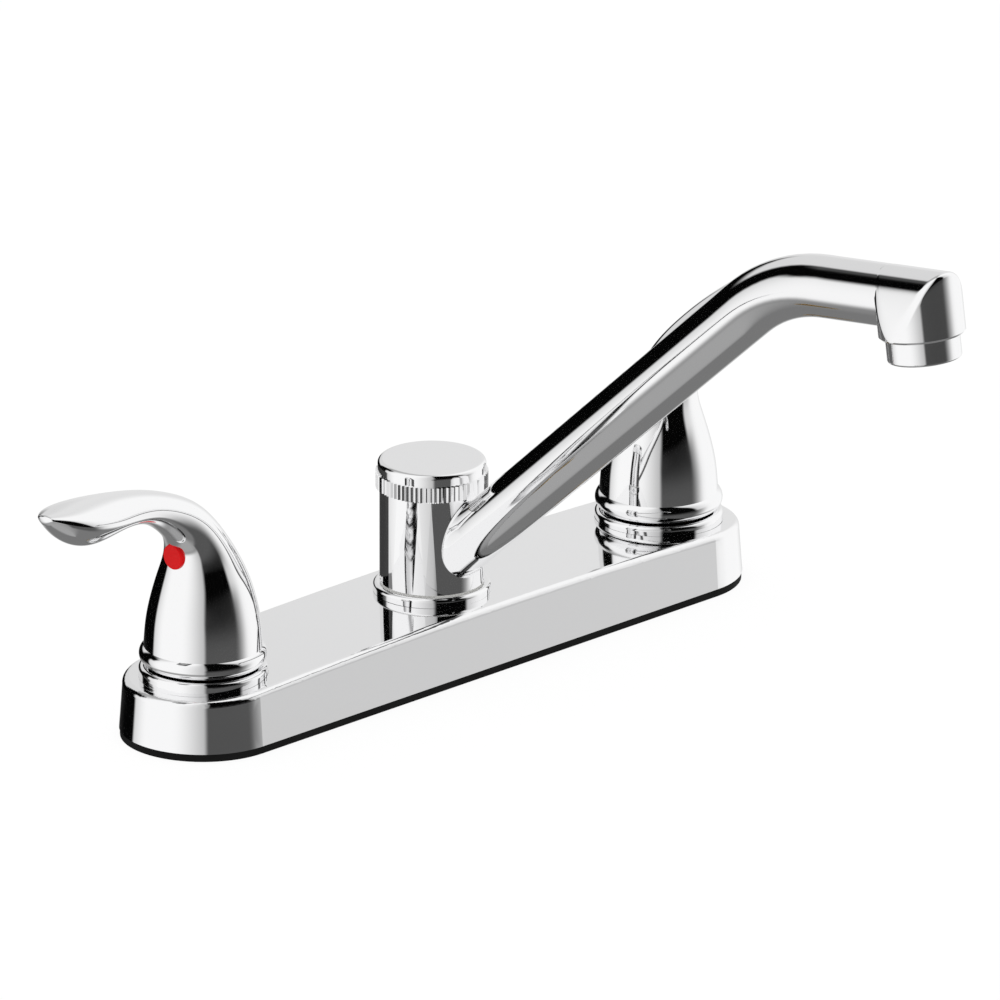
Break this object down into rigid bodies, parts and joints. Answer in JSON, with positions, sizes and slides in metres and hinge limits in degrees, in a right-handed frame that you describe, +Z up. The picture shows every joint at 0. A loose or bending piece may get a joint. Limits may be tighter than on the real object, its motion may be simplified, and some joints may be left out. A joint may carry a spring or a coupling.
{
  "type": "two handle kitchen faucet",
  "caption": "Deck-mounted chrome kitchen faucet: long oval deck plate, bell-shaped lever handles left and right of a rising, swivelling tube spout with a knurled nut and a round aerator.",
  "frame": {"origin": "centre of the gasket's underside, midway between the valves, where the faucet meets the deck", "axes": "+X from the hot valve to the cold valve, -Y the way the spout points, +Z up away from the deck"},
  "size_m": [0.3432, 0.2568, 0.2355],
  "materials": {
    "plate_chrome": "polished chrome plating on die-cast zinc",
    "handle_chrome": "polished chrome plating on die-cast zinc",
    "spout_chrome": "polished chrome plating on brass",
    "ring_chrome": "polished chrome plating on brass",
    "gasket_rubber": "matt black",
    "seal_rubber": "smooth black",
    "hot_red": "glossy red",
    "cold_blue": "glossy blue",
    "white_plastic": "natural acetal",
    "grey_plastic": "moulded, satin",
    "ceramic": "lapped alumina ceramic",
    "brass": "machined, bare",
    "steel": "zinc plated"
  },
  "bodies": {
    "deck_set": {"deck_gasket": "gasket_rubber", "deck_plate": "plate_chrome", "spout_post": "brass", "spout_o_rings": "seal_rubber", "spout_base_ring": "ring_chrome", "spout_bearing_ring": "white_plastic", "spout_nut": "ring_chrome", "hot_valve_body": "brass", "hot_crossover_tube": "brass", "hot_seat_seal": "seal_rubber", "hot_fixed_disc": "ceramic", "hot_cartridge": "brass", "hot_base_ring": "ring_chrome", "hot_collar_nut": "brass", "hot_mounting_washer": "steel", "hot_mounting_nut": "brass", "cold_valve_body": "brass", "cold_crossover_tube": "brass", "cold_seat_seal": "seal_rubber", "cold_fixed_disc": "ceramic", "cold_cartridge": "brass", "cold_base_ring": "ring_chrome", "cold_collar_nut": "brass", "cold_mounting_washer": "steel", "cold_mounting_nut": "brass"},
    "hot_handle": {"hot_handle": "handle_chrome", "hot_index_button": "hot_red", "hot_handle_screw": "steel", "hot_stem": "brass", "hot_stem_o_ring": "seal_rubber", "hot_turning_disc": "ceramic"},
    "cold_handle": {"cold_handle": "handle_chrome", "cold_index_button": "cold_blue", "cold_handle_screw": "steel", "cold_stem": "brass", "cold_stem_o_ring": "seal_rubber", "cold_turning_disc": "ceramic"},
    "spout": {"spout": "spout_chrome", "aerator_washer": "seal_rubber", "aerator_housing": "ring_chrome", "aerator_insert": "grey_plastic"}
  },
  "joints": [
    {"name": "hot_handle_turn", "type": "hinge", "parent": "deck_set", "child": "hot_handle", "pos_m": [-0.1016, 0, 0], "axis": [0, 0, 1], "range_deg": [0, 90]},
    {"name": "cold_handle_turn", "type": "hinge", "parent": "deck_set", "child": "cold_handle", "pos_m": [0.1016, 0, 0], "axis": [0, 0, 1], "range_deg": [-90, 0]},
    {"name": "spout_swivel", "type": "hinge", "parent": "deck_set", "child": "spout", "pos_m": [0, 0, 0], "axis": [0, 0, 1], "continuous": true}
  ]
}
